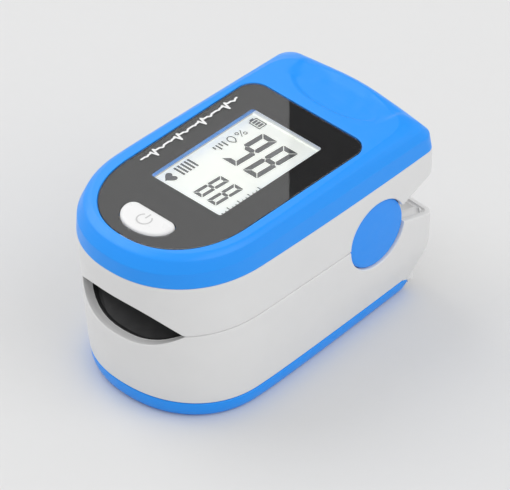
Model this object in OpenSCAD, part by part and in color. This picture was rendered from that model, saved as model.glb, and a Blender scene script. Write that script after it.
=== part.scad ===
// Fingertip pulse oximeter: two sprung shells on a hinge pin, with a display, a finger
// channel between two pads, and two small cells behind a sliding door.
// Origin: centre of the footprint, on the resting face. +X width, +Y towards the hinge, +Z up.

/* [Body] */
// Length from the finger end to the hinge end
body_l = 60.3; // [60.2:0.1:60.6]
// Width over the two sides
body_w = 33; // [33:0.1:33.4]
// Height from the resting face to the top of the window
body_h = 34; // [34:0.1:34.4]
// Wall thickness of the moulded shells
wall = 1.6; // [1.5:0.1:1.7]

/* [Top] */
// Width of the tinted window
lens_w = 26; // [25.4:0.1:26]
// Width of the display opening
view_w = 15.4; // [15:0.1:15.6]
// Length of the display opening
view_l = 23.9; // [23:0.1:24]
// Width of the power button
button_w = 10.2; // [9.6:0.1:10.4]
// Height of the button above the window
button_proud = 0.4; // [0.3:0.05:0.5]
// Travel of the button
button_travel = 0.35; // [0.25:0.05:0.35]

/* [Finger channel] */
// Half width of the mouth
mouth_w = 11.4; // [11:0.1:11.6]
// Rise of the upper arch above the seam
mouth_rise = 5.1; // [4.9:0.1:5.2]
// Dip of the lower arch below the seam
mouth_dip = 3.4; // [3.2:0.1:3.5]
// Thickness of the soft pads
pad_t = 1.3; // [1.2:0.05:1.3]

/* [Hinge] */
// Radius of the hinge pin
pin_r = 1; // [0.9:0.05:1]
// Radius of the round hinge covers
disc_r = 6.3; // [6.2:0.05:6.3]
// Running clearance of the moving ears on the pin
pin_gap = 0.05; // [0.03:0.01:0.08]

/* [Cells] */
// Diameter of one cell
cell_d = 10.5; // [10.3:0.1:10.5]
// Length of one cell over its button
cell_l = 44.5; // [44:0.1:44.6]

/* [Hidden] */

// Colours
blue = [0.15, 0.5, 0.98];
white = [0.9, 0.9, 0.91];
ink = [0.12, 0.12, 0.13];
steel = [0.75, 0.76, 0.78];
gold = [0.85, 0.68, 0.3];
board_green = [0.08, 0.35, 0.2];

// Heights, from the resting face up
seam_z = 18.1;
top_z = body_h;
roof_z = top_z - 1.7;
cell_z = 6.95;
door_t = 1.4;
lens_t = 0.4;
print_t = 0.1;
board_z = top_z - 6;
board_t = 1;

// Places along the body
tail_y = body_l / 2;
nose_y = -11.55;
nose_l = nose_y + body_l / 2;
view_y = -0.3;
channel_end = 8.5;
hinge = [15.85, 18.2];
barrel_r = 5;
upper_barrel_r = 6.2;
lower_barrel_r = 5.9;
sensor_y = -3;
bay_front = -22.6;
bay_back = 25.4;
cable_y = hinge[0] + 1.6;
cable_w = 5.2;
cable_t = 0.2;
cable_z = 12.7;

// Shape of the plan outline
nose_n = 2.18;
pinch_y = -5;
bow = 0.6;
corner_r = 2.4;
arch_n = 2.6;

// Thumb hollow: half width, length, and where its round end is centred
hollow_w = 11;
hollow_l = 8.7;
hollow_y = 28;

eps = 0.01;
far = 40;

// Insets of the outer skin at each height: [z, sides, front, back, extra at the hinge end's sides],
// then the corner radius and the bow of the hinge end where they differ from the usual
upper_skin = [
    [seam_z, 0.2, 1.2, 0.1, 0.1], [23, 0.1, 0.7, 0, 0.1], [28, 0, 0, 0, 0.1],
    [top_z - 2.6, 0.1, 0.15, 0.2, 0.4, 2.8, 0.9], [top_z - 0.6, 0.8, 1.6, 0.8, 1, 4, 1.4],
    [top_z - eps, 1.5, 2.8, 1.8, 1.3, 4.6, 1.6]
];
lower_skin = [
    [0, 1.9, 4.4, 3.8, 0.1], [0.4, 1.3, 3.8, 3.1, 0.1], [1.5, 0.95, 3.35, 2.3, 0.1],
    [4, 0.8, 2.95, 1.3, 0.1], [6.7, 0.45, 2.6, 0.5, 0.1], [9.5, 0.3, 2.3, 0.15, 0.1],
    [14, 0.25, 1.7, 0.1, 0.1], [seam_z - eps, 0.2, 1.2, 0.1, 0.1]
];

// Outlines ------------------------------------------------------------------------------

function power(v, e) = sign(v) * pow(abs(v), e);

// Half width of the body at y, for a half width of a at the nose
function side_x(a, y, back, pinch) = a - pinch * pow(max(0, (y - pinch_y) / (back - pinch_y)), 2);

// Right half of the hinge end, from the nose to the middle of the back
function tail_half(a, back, pinch, r, sag) =
    let (cx = a - pinch - r, cy = back - sag - r)
    concat(
        [for (y = [0, 8, 15, 20]) [side_x(a, y, back, pinch), y]],
        [for (t = [4:12:88]) [cx + r * cos(t), cy + r * sin(t)]],
        [for (x = [8, 4, 0]) [x, back - sag * pow(x / cx, 2)]]
    );

// Plan outline of the body inset at the sides, front and back, and pinched at the hinge end
function plan(side, front, back, pinch = 0.1, r = corner_r, sag = bow) =
    let (
        a = body_w / 2 - side, b = nose_l - front, half = tail_half(a, tail_y - back, pinch, r, sag),
        n = len(half)
    )
    concat(
        [for (t = [0:6:180]) [a * power(cos(t), 2 / nose_n), nose_y - b * power(sin(t), 2 / nose_n)]],
        [for (p = half) [-p[0], p[1]]],
        [for (i = [n - 2:-1:0]) half[i]]
    );

// Plan outline of the tinted window, grown by g
function lens_plan(g) =
    let (a = lens_w / 2 + g, r = 3.2 + g, back = 17.2 + g)
    concat(
        [for (t = [0:6:180])
            [a * power(cos(t), 2 / nose_n), -11.65 - (15.07 + g) * power(sin(t), 2 / nose_n)]],
        [for (t = [0:10:90]) [-a + r - r * cos(t), back - r + r * sin(t)]],
        [for (t = [90:-10:0]) [a - r + r * cos(t), back - r + r * sin(t)]]
    );

// Plan outline of the button, flat towards the display, grown by g
function button_plan(g) =
    let (a = button_w / 2 + g, r = 1.6 + g, y = -20.65)
    concat(
        [for (t = [0:10:180]) [a * power(cos(t), 2 / 2.1), y - (4 + g) * power(sin(t), 2 / 2.1)]],
        [for (t = [0:15:90]) [-a + r - r * cos(t), y + r * sin(t)]],
        [for (t = [90:-15:0]) [a - r + r * cos(t), y + r * sin(t)]]
    );

// Cross-section of the channel above (s = 1) or below (s = -1) the seam, grown by g
function arch(height, g, s) =
    [for (i = [-12:12])
        let (x = (mouth_w + g) * sin(i * 7.5))
        [x, seam_z + s * (height + g) * (1 - pow(abs(x / (mouth_w + g)), arch_n))]];

// Upper edge of the door along the body
function trim_z(y) = 2.5 + 1.6 * pow(max(0, (-14 - y) / 13), 2);

// Helpers -------------------------------------------------------------------------------

module slab(z, outline, h = eps) {
    translate([0, 0, z]) linear_extrude(h) polygon(outline);
}

// The solid inside the outer skin, set in by t all round
module inside(skin, t = 0) {
    hull() for (s = skin) slab(s[0], len(s) > 5
        ? plan(s[1] + t, s[2] + t, s[3] + t, s[4], s[5], s[6])
        : plan(s[1] + t, s[2] + t, s[3] + t, s[4]));
}

// A side view outline of [y, z] points, cut through the whole width or between two x values
module side_cut(points, x0 = -far, x1 = far) {
    translate([x0, 0, 0]) rotate([90, 0, 90]) linear_extrude(x1 - x0) polygon(points);
}

// A front view outline of [x, z] points, from y0 to y1
module front_cut(points, y0, y1) {
    translate([0, y1, 0]) rotate([90, 0, 0]) linear_extrude(y1 - y0) polygon(points);
}

// A box from its lowest corner to its highest corner
module span(a, b) {
    translate(a) cube(b - a);
}

// A cylinder along X around the hinge axis
module barrel(r, x0, x1) {
    translate([x0, hinge[0], hinge[1]]) rotate([0, 90, 0]) cylinder(r = r, h = x1 - x0, $fn = 96);
}

module both_sides() {
    children();
    mirror([1, 0, 0]) children();
}

// A round wire of radius r along a list of points
module wire(path, r, sides = 6) {
    n = len(path);
    function dir(i) = let (d = path[min(i + 1, n - 1)] - path[max(i - 1, 0)]) d / norm(d);
    rings = [for (i = [0:n - 1])
        let (
            d = dir(i), side = abs(d[0]) < 0.9 ? [1, 0, 0] : [0, 1, 0],
            u = cross(d, side) / norm(cross(d, side)), v = cross(d, u)
        )
        for (k = [0:sides - 1]) path[i] + r * (cos(k * 360 / sides) * u + sin(k * 360 / sides) * v)];
    polyhedron(rings, concat(
        [[for (k = [0:sides - 1]) k]],
        [for (i = [0:n - 2], k = [0:sides - 1])
            let (m = (k + 1) % sides)
            [i * sides + k, (i + 1) * sides + k, (i + 1) * sides + m, i * sides + m]],
        [[for (k = [sides - 1:-1:0]) (n - 1) * sides + k]]
    ));
}

// Side view regions ---------------------------------------------------------------------

// Underside of the upper shell behind the hinge, and top of the lower shell there
function rise_z(y) = 20.76 + 0.408 * (y - 21.65);
function fall_z(y) = 17.27 - 0.295 * (y - 21.85);
rise_y = 21.65 - (20.76 - seam_z) / 0.408;
fall_y = 21.85 + (17.27 - seam_z) / 0.295;

module above_seam(t = 0) {
    side_cut([
        [-far, seam_z + t], [rise_y, seam_z + t], [far, rise_z(far) + t], [far, far], [-far, far]
    ]);
}

module below_seam(t = 0) {
    side_cut([[-far, seam_z - t], [fall_y, seam_z - t], [far, fall_z(far) - t], [far, -5], [-far, -5]]);
}

// Everything above the line where the coloured cover meets the shell
module above_parting(t = 0) {
    side_cut(concat(
        [for (y = [-32:4:32]) [y, top_z - 6.1 + 0.8 * pow((y - 2) / 32, 2) + t]],
        [[32, far], [-32, far]]
    ));
}

// A way through the hinge barrel for the flexible cable, up to the height z
module cable_slot(z) {
    x = cable_w / 2 + 0.6;
    low_z = cable_z - 1.7;
    span([-x, cable_y - 0.8, low_z], [x, cable_y + 0.8, z]);
    span([-x, cable_y - 0.8, low_z], [x, bay_back, cable_z + 0.8]);
}

// The zone of the sliding door in side view, with rounded hinge ends
module door_zone(g = 0) {
    end_y = 24.5 + g;
    r = 1.2 + g;
    side_cut(concat(
        [for (y = [-32:2:-14]) [y, trim_z(y) + g]],
        [for (t = [90:-15:0]) [end_y - r + r * cos(t), 2.5 + g - r + r * sin(t)]],
        [[end_y, -5], [-32, -5]]
    ));
}

// Upper half ----------------------------------------------------------------------------

screw_spots = [for (sx = [-1, 1], y = [-8, 9]) [12.1 * sx, y]];

module upper_shell() {
    upper_skin_and_deck();
    upper_ears();
}

module upper_skin_and_deck() color(white) difference() {
    union() {
        difference() {
            intersection() {
                inside(upper_skin);
                above_seam();
            }
            above_parting();
            // space for the board and the hinge gear
            difference() {
                intersection() {
                    inside(upper_skin, wall);
                    above_seam(1.2);
                }
                front_cut(arch(mouth_rise, pad_t + 1.2, 1), -far, channel_end + 1);
                barrel(upper_barrel_r, -12.5, 12.5);
                both_sides() barrel(7.4, 12.5, far);
            }
        }
        // posts for the board
        intersection() {
            inside(upper_skin, 0.5);
            above_seam(1.2);
            for (p = screw_spots) translate([p[0], p[1], 0]) cylinder(r = 1.9, h = board_z, $fn = 32);
        }
    }
    // finger channel with its pad seat
    front_cut(arch(mouth_rise, 0, 1), -far, channel_end);
    intersection() {
        front_cut(arch(mouth_rise, pad_t + 0.2, 1), -far, channel_end);
        inside(upper_skin, wall);
    }
    // seat of the light source
    span([-1.8, sensor_y - 1.8, seam_z], [1.8, sensor_y + 1.8, board_z]);
    // room for the hinge and its springs
    barrel(barrel_r, -12.5, 12.5);
    both_sides() barrel(disc_r + 0.15, 12.5, far);
    cable_slot(board_z);
    for (p = screw_spots) translate([p[0], p[1], board_z - 5]) cylinder(r = 0.7, h = 6, $fn = 32);
}

// The two ears that turn on the pin, moulded with the upper shell
module upper_ears() color(white) {
    both_sides() difference() {
        union() {
            barrel(4.6, 10.4, 12.4);
            span([10.4, hinge[0] - 2.4, hinge[1]], [12.4, hinge[0] + 2.4, hinge[1] + 5.6]);
        }
        barrel(pin_r + pin_gap, 10, 13);
    }
}

module upper_cover() color(blue) difference() {
    intersection() {
        inside(upper_skin);
        above_parting();
    }
    // hollow underneath
    hull() {
        slab(board_z - 4, plan(wall, wall, wall));
        slab(top_z - 3.2, plan(wall + 0.1, wall + 0.2, wall + 0.4));
        slab(roof_z - eps, plan(wall + 0.8, wall + 2.2, wall + 4));
    }
    // seat of the window, and the openings under it
    slab(top_z - lens_t - print_t, lens_plan(0.1), 5);
    span([-view_w / 2 - 0.5, view_y - view_l / 2 - 0.5, board_z],
         [view_w / 2 + 0.5, view_y + view_l / 2 + 0.5, top_z]);
    slab(board_z, button_plan(0.2), 10);
    thumb_hollow();
}

// A shallow scoop behind the window
module thumb_hollow() {
    hull() {
        slab(top_z - 0.02, hollow_plan(0), 2);
        slab(top_z - 0.3, hollow_plan(1), 1);
    }
}

function hollow_plan(g) = concat(
    [for (t = [0:12:180])
        [(hollow_w - g) * power(cos(t), 0.8), hollow_y - (hollow_l - g) * power(sin(t), 0.8)]],
    [[-hollow_w + g, 34], [hollow_w - g, 34]]
);

module display_lens() color([0.2, 0.2, 0.22, 0.6]) difference() {
    slab(top_z - lens_t, lens_plan(0), lens_t);
    slab(top_z - 2, button_plan(0.12), 4);
}

module display_mask() color(ink) difference() {
    slab(top_z - lens_t - print_t, lens_plan(0), print_t);
    slab(top_z - 2, button_plan(0.12), 4);
    span([-view_w / 2, view_y - view_l / 2, top_z - 2], [view_w / 2, view_y + view_l / 2, top_z]);
}

module lcd_panel() color([0.9, 0.93, 0.88]) span(
    [-9.2, view_y - 13.75, roof_z - 1.4], [9.2, view_y + 13.75, roof_z]);

module lcd_light_guide() color([0.95, 0.97, 1]) span(
    [-9.2, view_y - 13.75, roof_z - 2.9], [9.2, view_y + 11.5, roof_z - 1.4]);

module lcd_frame() color([0.95, 0.95, 0.93]) difference() {
    span([-10.6, view_y - 15, board_z + board_t], [10.6, view_y + 15, roof_z - 0.1]);
    span([-9.3, view_y - 13.85, board_z], [9.3, view_y + 13.85, top_z]);
}

module lcd_contact_strip() color([0.85, 0.5, 0.6]) span(
    [-8.5, view_y + 11.7, board_z + board_t], [8.5, view_y + 13.5, roof_z - 1.4]);

module main_board() color(board_green) difference() {
    slab(board_z, plan(3, 3.6, 8.5), board_t);
    for (p = screw_spots) translate([p[0], p[1], 0]) cylinder(r = 0.9, h = far, $fn = 32);
}

// A chip body with gull-wing leads on two sides, hanging under the board
module chip(x, y, w, l, h, leads) {
    translate([x, y, board_z - h]) {
        color(ink) span([-w / 2, -l / 2, 0.1], [w / 2, l / 2, h]);
        color(steel) for (i = [0:leads - 1], s = [-1, 1])
            translate([s * (w / 2 + 0.35), (i - (leads - 1) / 2) * l / leads, h - 0.1])
                cube([0.7, 0.3, 0.2], center = true);
    }
}

module microcontroller() chip(0, -13, 7, 7, 1, 8);

module sensor_amplifier() chip(7.4, -3.5, 4, 5, 1.1, 5);

module crystal() color(steel) translate([-7.6, -3, board_z - 0.7]) rotate([90, 0, 0])
    cylinder(r = 0.7, h = 5, $fn = 24);

module board_capacitors() color([0.75, 0.6, 0.4])
    for (x = [-4, 4], y = [5, 8.2, 11.4]) span([x - 0.8, y, board_z - 0.9], [x + 0.8, y + 0.9, board_z]);

module tact_switch() color(steel) difference() {
    span([-3, -21.75 - 3, board_z + board_t], [3, -21.75 + 3, board_z + board_t + 1.6]);
    translate([0, -21.75, board_z + board_t + 0.6]) cylinder(r = 1.2, h = 2, $fn = 48);
}

module switch_plunger() color(ink) translate([0, -21.75, board_z + board_t + 1])
    cylinder(r = 1.1, h = 1.3, $fn = 48);

module board_screws() color(steel) for (p = screw_spots) translate([p[0], p[1], 0]) {
    translate([0, 0, board_z - 4.5]) cylinder(r = 0.7, h = 5 + board_t, $fn = 32);
    translate([0, 0, board_z + board_t]) cylinder(r = 1.4, h = 0.8, $fn = 32);
}

module power_button() color("white") {
    hull() {
        slab(roof_z - 0.7, button_plan(0), 1);
        slab(top_z + button_proud - 0.3, button_plan(0));
        slab(top_z + button_proud - eps, button_plan(-0.35));
    }
    slab(roof_z - 0.7, button_plan(0.8), 0.6);
    translate([0, -21.75, board_z + board_t + 2.3]) cylinder(r = 1.5, h = 0.5, $fn = 32);
}

module emitter_board() color(board_green) {
    z = seam_z + mouth_rise + pad_t + 1.25;
    span([-3.5, sensor_y - 4, z], [3.5, sensor_y + 4, z + 0.6]);
}

module emitter_leds() color([0.9, 0.3, 0.25]) {
    z = seam_z + mouth_rise + pad_t + 0.3;
    span([-1.5, sensor_y - 1.4, z], [1.5, sensor_y + 1.4, z + 0.95]);
}

module emitter_window() color([0.7, 0.3, 0.3, 0.6]) intersection() {
    translate([0, sensor_y, seam_z]) cylinder(r = 3, h = 20, $fn = 48);
    front_cut(arch(mouth_rise, pad_t + 0.15, 1), -20, 5);
    difference() {
        span([-4, -20, seam_z + mouth_rise - 1], [4, 5, far]);
        front_cut(arch(mouth_rise, 0.25, 1), -20, 5);
    }
}

module pad(height, s) {
    difference() {
        front_cut(arch(height, pad_t + 0.15, s), -far, channel_end - 0.1);
        front_cut(arch(height, 0.15, s), -far, channel_end - 1.4);
        // soft joint between the two pads
        translate([0, 0, seam_z]) cube([far, 2 * far, 0.3], center = true);
        translate([0, sensor_y, seam_z - far / 2]) cylinder(r = 3.05, h = far, $fn = 48);
    }
}

module upper_finger_pad() color(ink) intersection() {
    pad(mouth_rise, 1);
    inside(upper_skin, wall + 0.1);
}

// Lower half ----------------------------------------------------------------------------

frame_spots = [for (sx = [-1, 1], y = [-9, 4]) [12.25 * sx, y]];
screw_r = 0.6;
screw_head_r = 1.05;

module bay() {
    both_sides() translate([5.5, bay_back, cell_z]) rotate([90, 0, 0])
        cylinder(r = cell_d / 2 + 0.15, h = bay_back - bay_front, $fn = 64);
    span([-10.9, bay_front, -1], [10.9, bay_back, cell_z]);
    // pockets for the link plate and the contact board
    span([-9.3, bay_front, 3], [9.3, bay_front + 0.45, 9.7]);
    span([-10.7, bay_back - 1, 3], [10.7, bay_back, 11.1]);
}

module lower_shell() color(white) difference() {
    union() {
        difference() {
            intersection() {
                inside(lower_skin);
                below_seam();
            }
            door_zone(0.12);
            difference() {
                intersection() {
                    inside(lower_skin, wall);
                    union() {
                        below_seam(1.2);
                        span([-far, -far, -1], [far, channel_end + 1, far]);
                    }
                }
                barrel(lower_barrel_r, -12.5, 12.5);
            }
            front_cut(arch(mouth_dip, 0, -1), -far, channel_end);
        }
        // side skirts that carry the door
        both_sides() span([11.85, -12, 1.5], [13.1, 24, 3.6]);
        intersection() {
            both_sides() span([13, -12, 2.7], [15, 24, 3.6]);
            inside(lower_skin, 0.4);
        }
        // screw posts
        for (p = frame_spots) translate([p[0], p[1], 9.6]) cylinder(r = 1.4, h = 6, $fn = 32);
        both_sides() for (p = [frame_spots[2], frame_spots[3]])
            span([p[0], p[1] - 0.8, 9.6], [14.9, p[1] + 0.8, 15.6]);
        // outer ears
        both_sides() barrel(disc_r - 0.1, 12.6, 14.8);
    }
    // recessed panel behind the hinge, framed by a narrow rim
    intersection() {
        inside(lower_skin, 1);
        difference() {
            span([-far, fall_y + 1.5, 10], [far, far, far]);
            below_seam(0.5);
        }
    }
    // grooves for the door rails
    both_sides() span([11, -13, 2], [12.45, 26, 2.95]);
    both_sides() barrel(disc_r + 0.1, 14.8, far);
    barrel(barrel_r, -12.5, 12.5);
    barrel(pin_r, -15, 15);
    for (p = frame_spots) translate([p[0], p[1], 8]) cylinder(r = screw_r, h = 6, $fn = 32);
    cable_slot(hinge[1]);
}

module lower_frame() color([0.8, 0.8, 0.82]) difference() {
    intersection() {
        hull() {
            slab(4.1, plan(wall + 1.3, wall + 3.2, wall + 2.6));
            slab(seam_z - 1, plan(wall + 0.4, wall + 1.7, wall + 0.5));
        }
        below_seam(1.3);
    }
    barrel(lower_barrel_r + 0.1, -12.6, 12.6);
    both_sides() span([12.4, hinge[0] - 7, hinge[1] - 7.5], [far, far, far]);
    front_cut(arch(mouth_dip, pad_t + 0.2, -1), -far, channel_end);
    bay();
    for (p = frame_spots) translate([p[0], p[1], 0]) {
        translate([0, 0, 9.5]) cylinder(r = 1.5, h = far, $fn = 32);
        cylinder(r = screw_r + 0.1, h = far, $fn = 32);
        cylinder(r = screw_head_r + 0.05, h = 7, $fn = 32);
    }
    for (p = frame_spots) translate([p[0] + 1.8 * sign(p[0]), p[1], far / 2 + 9.5])
        cube([3.6, 1.8, far], center = true);
    span([-2.4, sensor_y - 3.2, cell_z + 3], [2.4, sensor_y + 3.2, 12.1]);
    span([-1.7, sensor_y - 1.7, cell_z - 1], [1.7, sensor_y + 1.7, seam_z]);
    cable_slot(hinge[1]);
}

module frame_screws() color(steel) for (p = frame_spots) translate([p[0], p[1], 0]) {
    translate([0, 0, 6.2]) cylinder(r = screw_head_r, h = 0.8, $fn = 32);
    translate([0, 0, 6.6]) cylinder(r = screw_r, h = 6.6, $fn = 32);
}

module lower_finger_pad() color(ink) intersection() {
    pad(mouth_dip, -1);
    inside(lower_skin, wall + 0.1);
}

module sensor_window() color([0.3, 0.3, 0.32, 0.6]) difference() {
    intersection() {
        translate([0, sensor_y, 0]) cylinder(r = 3, h = seam_z, $fn = 48);
        front_cut(arch(mouth_dip, pad_t + 0.15, -1), -20, 5);
    }
    front_cut(arch(mouth_dip, 0.25, -1), -20, 5);
}

module photodiode() color([0.25, 0.2, 0.3]) span(
    [-1.5, sensor_y - 1.5, 12.05], [1.5, sensor_y + 1.5, 13]);

module sensor_board() color(board_green) span(
    [-2.3, sensor_y - 3, 11.5], [2.3, sensor_y + 3, 12.05]);

module hinge_pin() color(steel) barrel(pin_r, -14.8, 14.8);

// A coil around the pin with one leg up and one leg down
module torsion_spring() {
    turns = 5;
    coil_r = 2.3;
    pitch = 0.85;
    path = concat(
        [[4.6, 2.35, -3.8], [4.6, 2.3, -2.2]],
        [for (i = [0:turns * 12])
            [4.6 + pitch * i / 12, coil_r * cos(i * 30), coil_r * sin(i * 30)]],
        [[4.6 + pitch * turns, 2.3, 2.2], [4.6 + pitch * turns, 2.35, 3.8]]
    );
    translate([0, hinge[0], hinge[1]]) wire(path, 0.35);
}

module torsion_spring_right() color(steel) torsion_spring();

module torsion_spring_left() color(steel) mirror([1, 0, 0]) torsion_spring();

module hinge_cap() {
    difference() {
        barrel(disc_r, 14.8, 16);
        barrel(pin_r + 0.4, 14, 15);
    }
}

module hinge_cap_right() color(blue) hinge_cap();

module hinge_cap_left() color(blue) mirror([1, 0, 0]) hinge_cap();

// A ribbon from the main board down behind the pin, and back to the contact board
module flex_cable() color(gold) {
    end_y = bay_back - 0.9;
    span([-cable_w / 2, cable_y, cable_z], [cable_w / 2, cable_y + cable_t, board_z]);
    span([-cable_w / 2, cable_y, cable_z], [cable_w / 2, end_y, cable_z + cable_t]);
}

module contact_board() color(board_green) {
    span([-10.6, bay_back - 0.9, 4.3], [10.6, bay_back - 0.1, 11]);
    span([-cable_w / 2, bay_back - 0.9, 11 - eps], [cable_w / 2, bay_back - 0.1, cable_z + 0.6]);
}

module battery_contacts() color(gold) both_sides()
    translate([5.5, bay_back - 0.9, cell_z]) rotate([90, 0, 0]) cylinder(r = 3.6, h = 0.3, $fn = 40);

module battery_link() color(gold) span([-9.2, bay_front + 0.05, 4], [9.2, bay_front + 0.35, 9.6]);

// A conical contact spring of three turns, standing on its wide end
module contact_spring(l) {
    r = 0.2;
    steps = 36;
    wire([for (i = [0:steps])
        let (coil_r = 3.2 - 1.6 * i / steps)
        [coil_r * cos(i * 30), coil_r * sin(i * 30), r + (l - 2 * r) * i / steps]], r);
}

module battery_springs() color(steel) {
    translate([5.5, bay_back - 1.2, cell_z]) rotate([90, 0, 0]) contact_spring(1.3);
    translate([-5.5, bay_front + 0.35, cell_z]) rotate([-90, 0, 0]) contact_spring(1.3);
}

module cell() {
    d = cell_d;
    color([0.2, 0.22, 0.26]) rotate_extrude($fn = 64) polygon([
        [0, 0], [d / 2 - 0.6, 0], [d / 2, 0.5], [d / 2, cell_l - 1.6], [d / 2 - 0.6, cell_l - 1.1],
        [2, cell_l - 1.1], [2, cell_l - 0.2], [1.8, cell_l], [0, cell_l]]);
}

module battery_right() translate([5.5, bay_back - 2.5, cell_z]) rotate([90, 0, 0]) cell();

module battery_left() translate([-5.5, bay_front + 1.65, cell_z]) rotate([-90, 0, 0]) cell();

// Sliding door with a wrapped lip and two rails
module battery_door() color(blue) difference() {
    union() {
        difference() {
            intersection() {
                inside(lower_skin);
                door_zone();
            }
            slab(door_t, concat(
                [for (t = [0:6:180])
                    [13.2 * power(cos(t), 2 / nose_n), nose_y - 14.3 * power(sin(t), 2 / nose_n)]],
                [[-13.2, far], [13.2, far]]), far);
        }
        // floor
        intersection() {
            inside(lower_skin);
            door_zone();
            span([-far, -far, -1], [far, far, door_t]);
        }
        // rails
        both_sides() span([11, -12, 1], [11.7, 22, 2.75]);
        both_sides() span([11.5, -12, 2.1], [12.3, 22, 2.75]);
    }
    // grip grooves on the underside
    for (i = [0:4]) translate([0, -17 - 1.5 * i, 0]) cube([12 - 1.2 * i, 0.7, 0.6], center = true);
}

upper_shell();
upper_cover();
display_lens();
display_mask();
lcd_panel();
lcd_light_guide();
lcd_frame();
lcd_contact_strip();
main_board();
microcontroller();
sensor_amplifier();
crystal();
board_capacitors();
tact_switch();
board_screws();
emitter_board();
emitter_leds();
emitter_window();
upper_finger_pad();
power_button();
switch_plunger();
lower_shell();
lower_frame();
frame_screws();
lower_finger_pad();
sensor_window();
photodiode();
sensor_board();
hinge_pin();
torsion_spring_left();
torsion_spring_right();
hinge_cap_left();
hinge_cap_right();
flex_cable();
contact_board();
battery_contacts();
battery_springs();
battery_link();
battery_left();
battery_right();
battery_door();
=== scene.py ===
import math

import bmesh
import bpy
import numpy as np
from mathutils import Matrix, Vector


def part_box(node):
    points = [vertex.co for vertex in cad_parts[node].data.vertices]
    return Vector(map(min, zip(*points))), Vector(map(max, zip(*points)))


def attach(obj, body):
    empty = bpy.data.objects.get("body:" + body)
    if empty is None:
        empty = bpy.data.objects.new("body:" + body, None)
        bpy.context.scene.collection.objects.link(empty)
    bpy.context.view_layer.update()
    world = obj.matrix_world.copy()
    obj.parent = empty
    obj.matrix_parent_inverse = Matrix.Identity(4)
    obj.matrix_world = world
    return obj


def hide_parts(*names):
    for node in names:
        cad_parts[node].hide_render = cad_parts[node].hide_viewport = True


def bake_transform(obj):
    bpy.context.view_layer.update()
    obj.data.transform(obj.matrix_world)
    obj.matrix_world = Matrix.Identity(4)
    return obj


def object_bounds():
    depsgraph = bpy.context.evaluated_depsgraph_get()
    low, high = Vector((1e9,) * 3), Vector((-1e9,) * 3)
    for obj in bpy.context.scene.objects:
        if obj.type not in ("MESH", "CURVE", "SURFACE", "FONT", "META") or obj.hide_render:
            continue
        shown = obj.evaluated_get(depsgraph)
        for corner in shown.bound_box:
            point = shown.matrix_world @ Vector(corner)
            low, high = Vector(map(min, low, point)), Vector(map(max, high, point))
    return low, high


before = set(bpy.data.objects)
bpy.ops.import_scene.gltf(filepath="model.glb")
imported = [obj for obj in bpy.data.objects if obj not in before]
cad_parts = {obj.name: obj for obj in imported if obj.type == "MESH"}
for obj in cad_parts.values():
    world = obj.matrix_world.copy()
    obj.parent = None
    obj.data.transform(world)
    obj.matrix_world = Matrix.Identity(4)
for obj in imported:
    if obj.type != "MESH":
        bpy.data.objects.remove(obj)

# Fingertip pulse oximeter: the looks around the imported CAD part. Shapes are worked out in
# millimetres (+X across, +Y towards the hinge, +Z up through the display) and made in metres.

MM = 0.001
CAD_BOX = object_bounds()

# ---- sizes


def size(node):
    """Lowest and highest corner of a CAD node, in millimetres."""
    low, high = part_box(node)
    return np.array(low) / MM, np.array(high) / MM


BODY_HALF = CAD_BOX[1].x / MM
TAIL_Y = CAD_BOX[1].y / MM
TOP_Z = size("display_lens")[1][2]
ROOF_Z = size("lcd_panel")[1][2]

LENS_LOW, LENS_HIGH = size("display_lens")
BUTTON_FLANGE = 0.8
BUTTON_LOW, BUTTON_HIGH = size("power_button")
MASK_LOW, MASK_HIGH = size("display_mask")
LCD_LOW, LCD_HIGH = size("lcd_panel")
PIN_LOW, PIN_HIGH = size("hinge_pin")
CAP_LOW, CAP_HIGH = size("hinge_cap_right")

HINGE_Y = (PIN_LOW[1] + PIN_HIGH[1]) / 2
HINGE_Z = (PIN_LOW[2] + PIN_HIGH[2]) / 2
DISC_R = (CAP_HIGH[2] - CAP_LOW[2]) / 2
POCKET_R = DISC_R + 0.12

SEAM_Z = size("lower_finger_pad")[1][2] + 0.15
SEAM_GAP = 0.05
WALL = 1.52
EDGE_R = 0.22

# Plan outline of the body
NOSE_Y = -11.55
NOSE_N = 2.18
PINCH_Y = -9.0
PINCH_N = 1.3
CORNER_R = 2.0
BOW = 0.4

# Plan outline of the window and the button
LENS_NOSE_Y = -11.65
LENS_CORNER_R = 3.2
BUTTON_NOSE_Y = -20.65
BUTTON_CORNER_R = 1.6
BUTTON_N = 2.1

# Finger channel
MOUTH_HALF = 11.4
MOUTH_RISE = 5.1
MOUTH_DIP = 3.4
MOUTH_N = 2.6
PAD_T = 1.3
CHANNEL_END = size("lower_finger_pad")[1][1]
SENSOR_Y = -3.0

# Display opening
VIEW_X = 7.7
VIEW_Y = -0.3
VIEW_HALF_L = 11.95
WELL_Z = ROOF_Z + 0.34

# Door
DOOR_END = 25.2
DOOR_CORNER_R = 1.2
DOOR_EDGE_Z = 2.9
DOOR_CLIMB = 0.5
CLIMB_Y = -14
CLIMB_L = 13
DOOR_GAP = 0.12
DOOR_FLOOR = 1.4

# Heights along Y: the parting under the cover, and the faces of the two halves behind the hinge,
# each as a place, the height there and the slope
PARTING_DROP = 6.1
PARTING_BOW = 0.8
PARTING_Y = 2
PARTING_L = 32
PARTING_GAP = 0.02
UPPER_TAIL = (21.65, 20.76, 0.408)
LOWER_TAIL = (21.85, 17.27, -0.295)
CREASE_Z = TOP_Z - 2.6

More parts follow.
